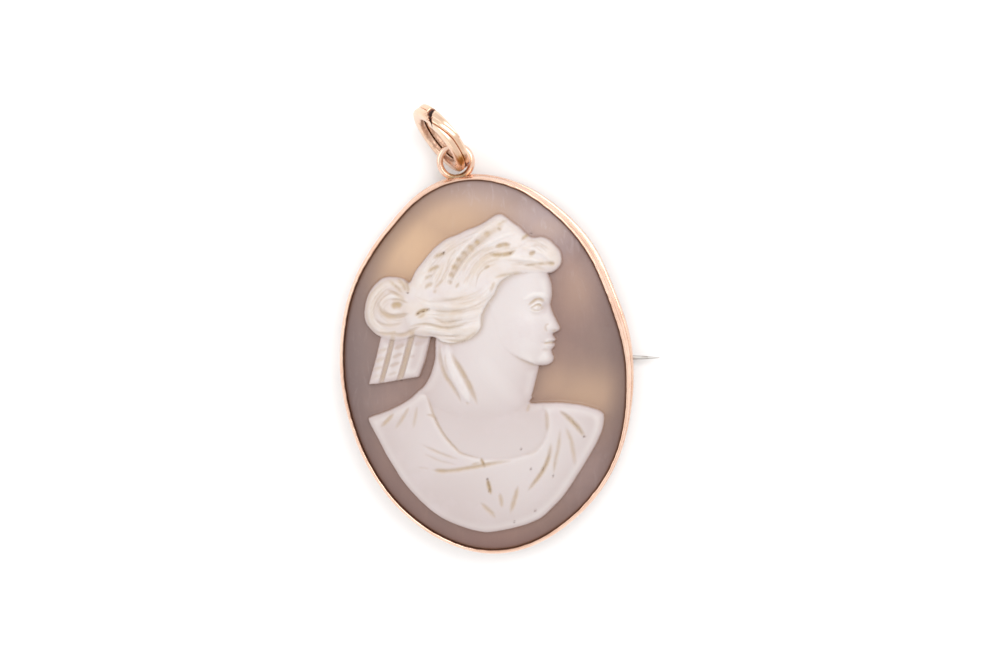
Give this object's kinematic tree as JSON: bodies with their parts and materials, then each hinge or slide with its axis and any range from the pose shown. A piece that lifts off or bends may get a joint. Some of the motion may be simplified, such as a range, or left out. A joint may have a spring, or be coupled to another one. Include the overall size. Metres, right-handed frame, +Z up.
{
  "type": "cameo pendant",
  "caption": "Oval carved shell cameo in a stepped metal collet, with a soldered loop, a split ring for a chain and a hinged brooch pin across its hollow back.",
  "frame": {"origin": "middle of the box round the whole part, on the surface that it lies on", "axes": "+X along the brooch pin towards its point, +Y towards the loop and the split ring, +Z up, out of the carved face"},
  "size_m": [0.0392, 0.0548, 0.0093],
  "materials": {
    "rose_gold": "low-carat rose gold, satin from wear, burnished lip",
    "ring_gold": "low-carat gold, a little yellower, worn satin",
    "shell": "carved shell, white figure on a mauve-brown ground, soft polish, pale ochre in the cuts",
    "pin_steel": "drawn steel wire, dulled"
  },
  "bodies": {
    "pendant": {"collet": "rose_gold", "shell_cameo": "shell", "hinge_rivet": "rose_gold"},
    "pin": {"brooch_pin": "pin_steel"},
    "ring": {"split_ring": "ring_gold"}
  },
  "joints": [
    {"name": "pin_swing", "type": "hinge", "parent": "pendant", "child": "pin", "pos_m": [-0.01861, -0.00381, 0.00095], "axis": [0, 1, 0], "range_deg": [0, 110]},
    {"name": "ring_swing", "type": "hinge", "parent": "pendant", "child": "ring", "pos_m": [-0.0063, 0.02178, 0.00278], "axis": [-0.7306, -0.5708, 0.3746], "range_deg": [-10, 115]}
  ]
}
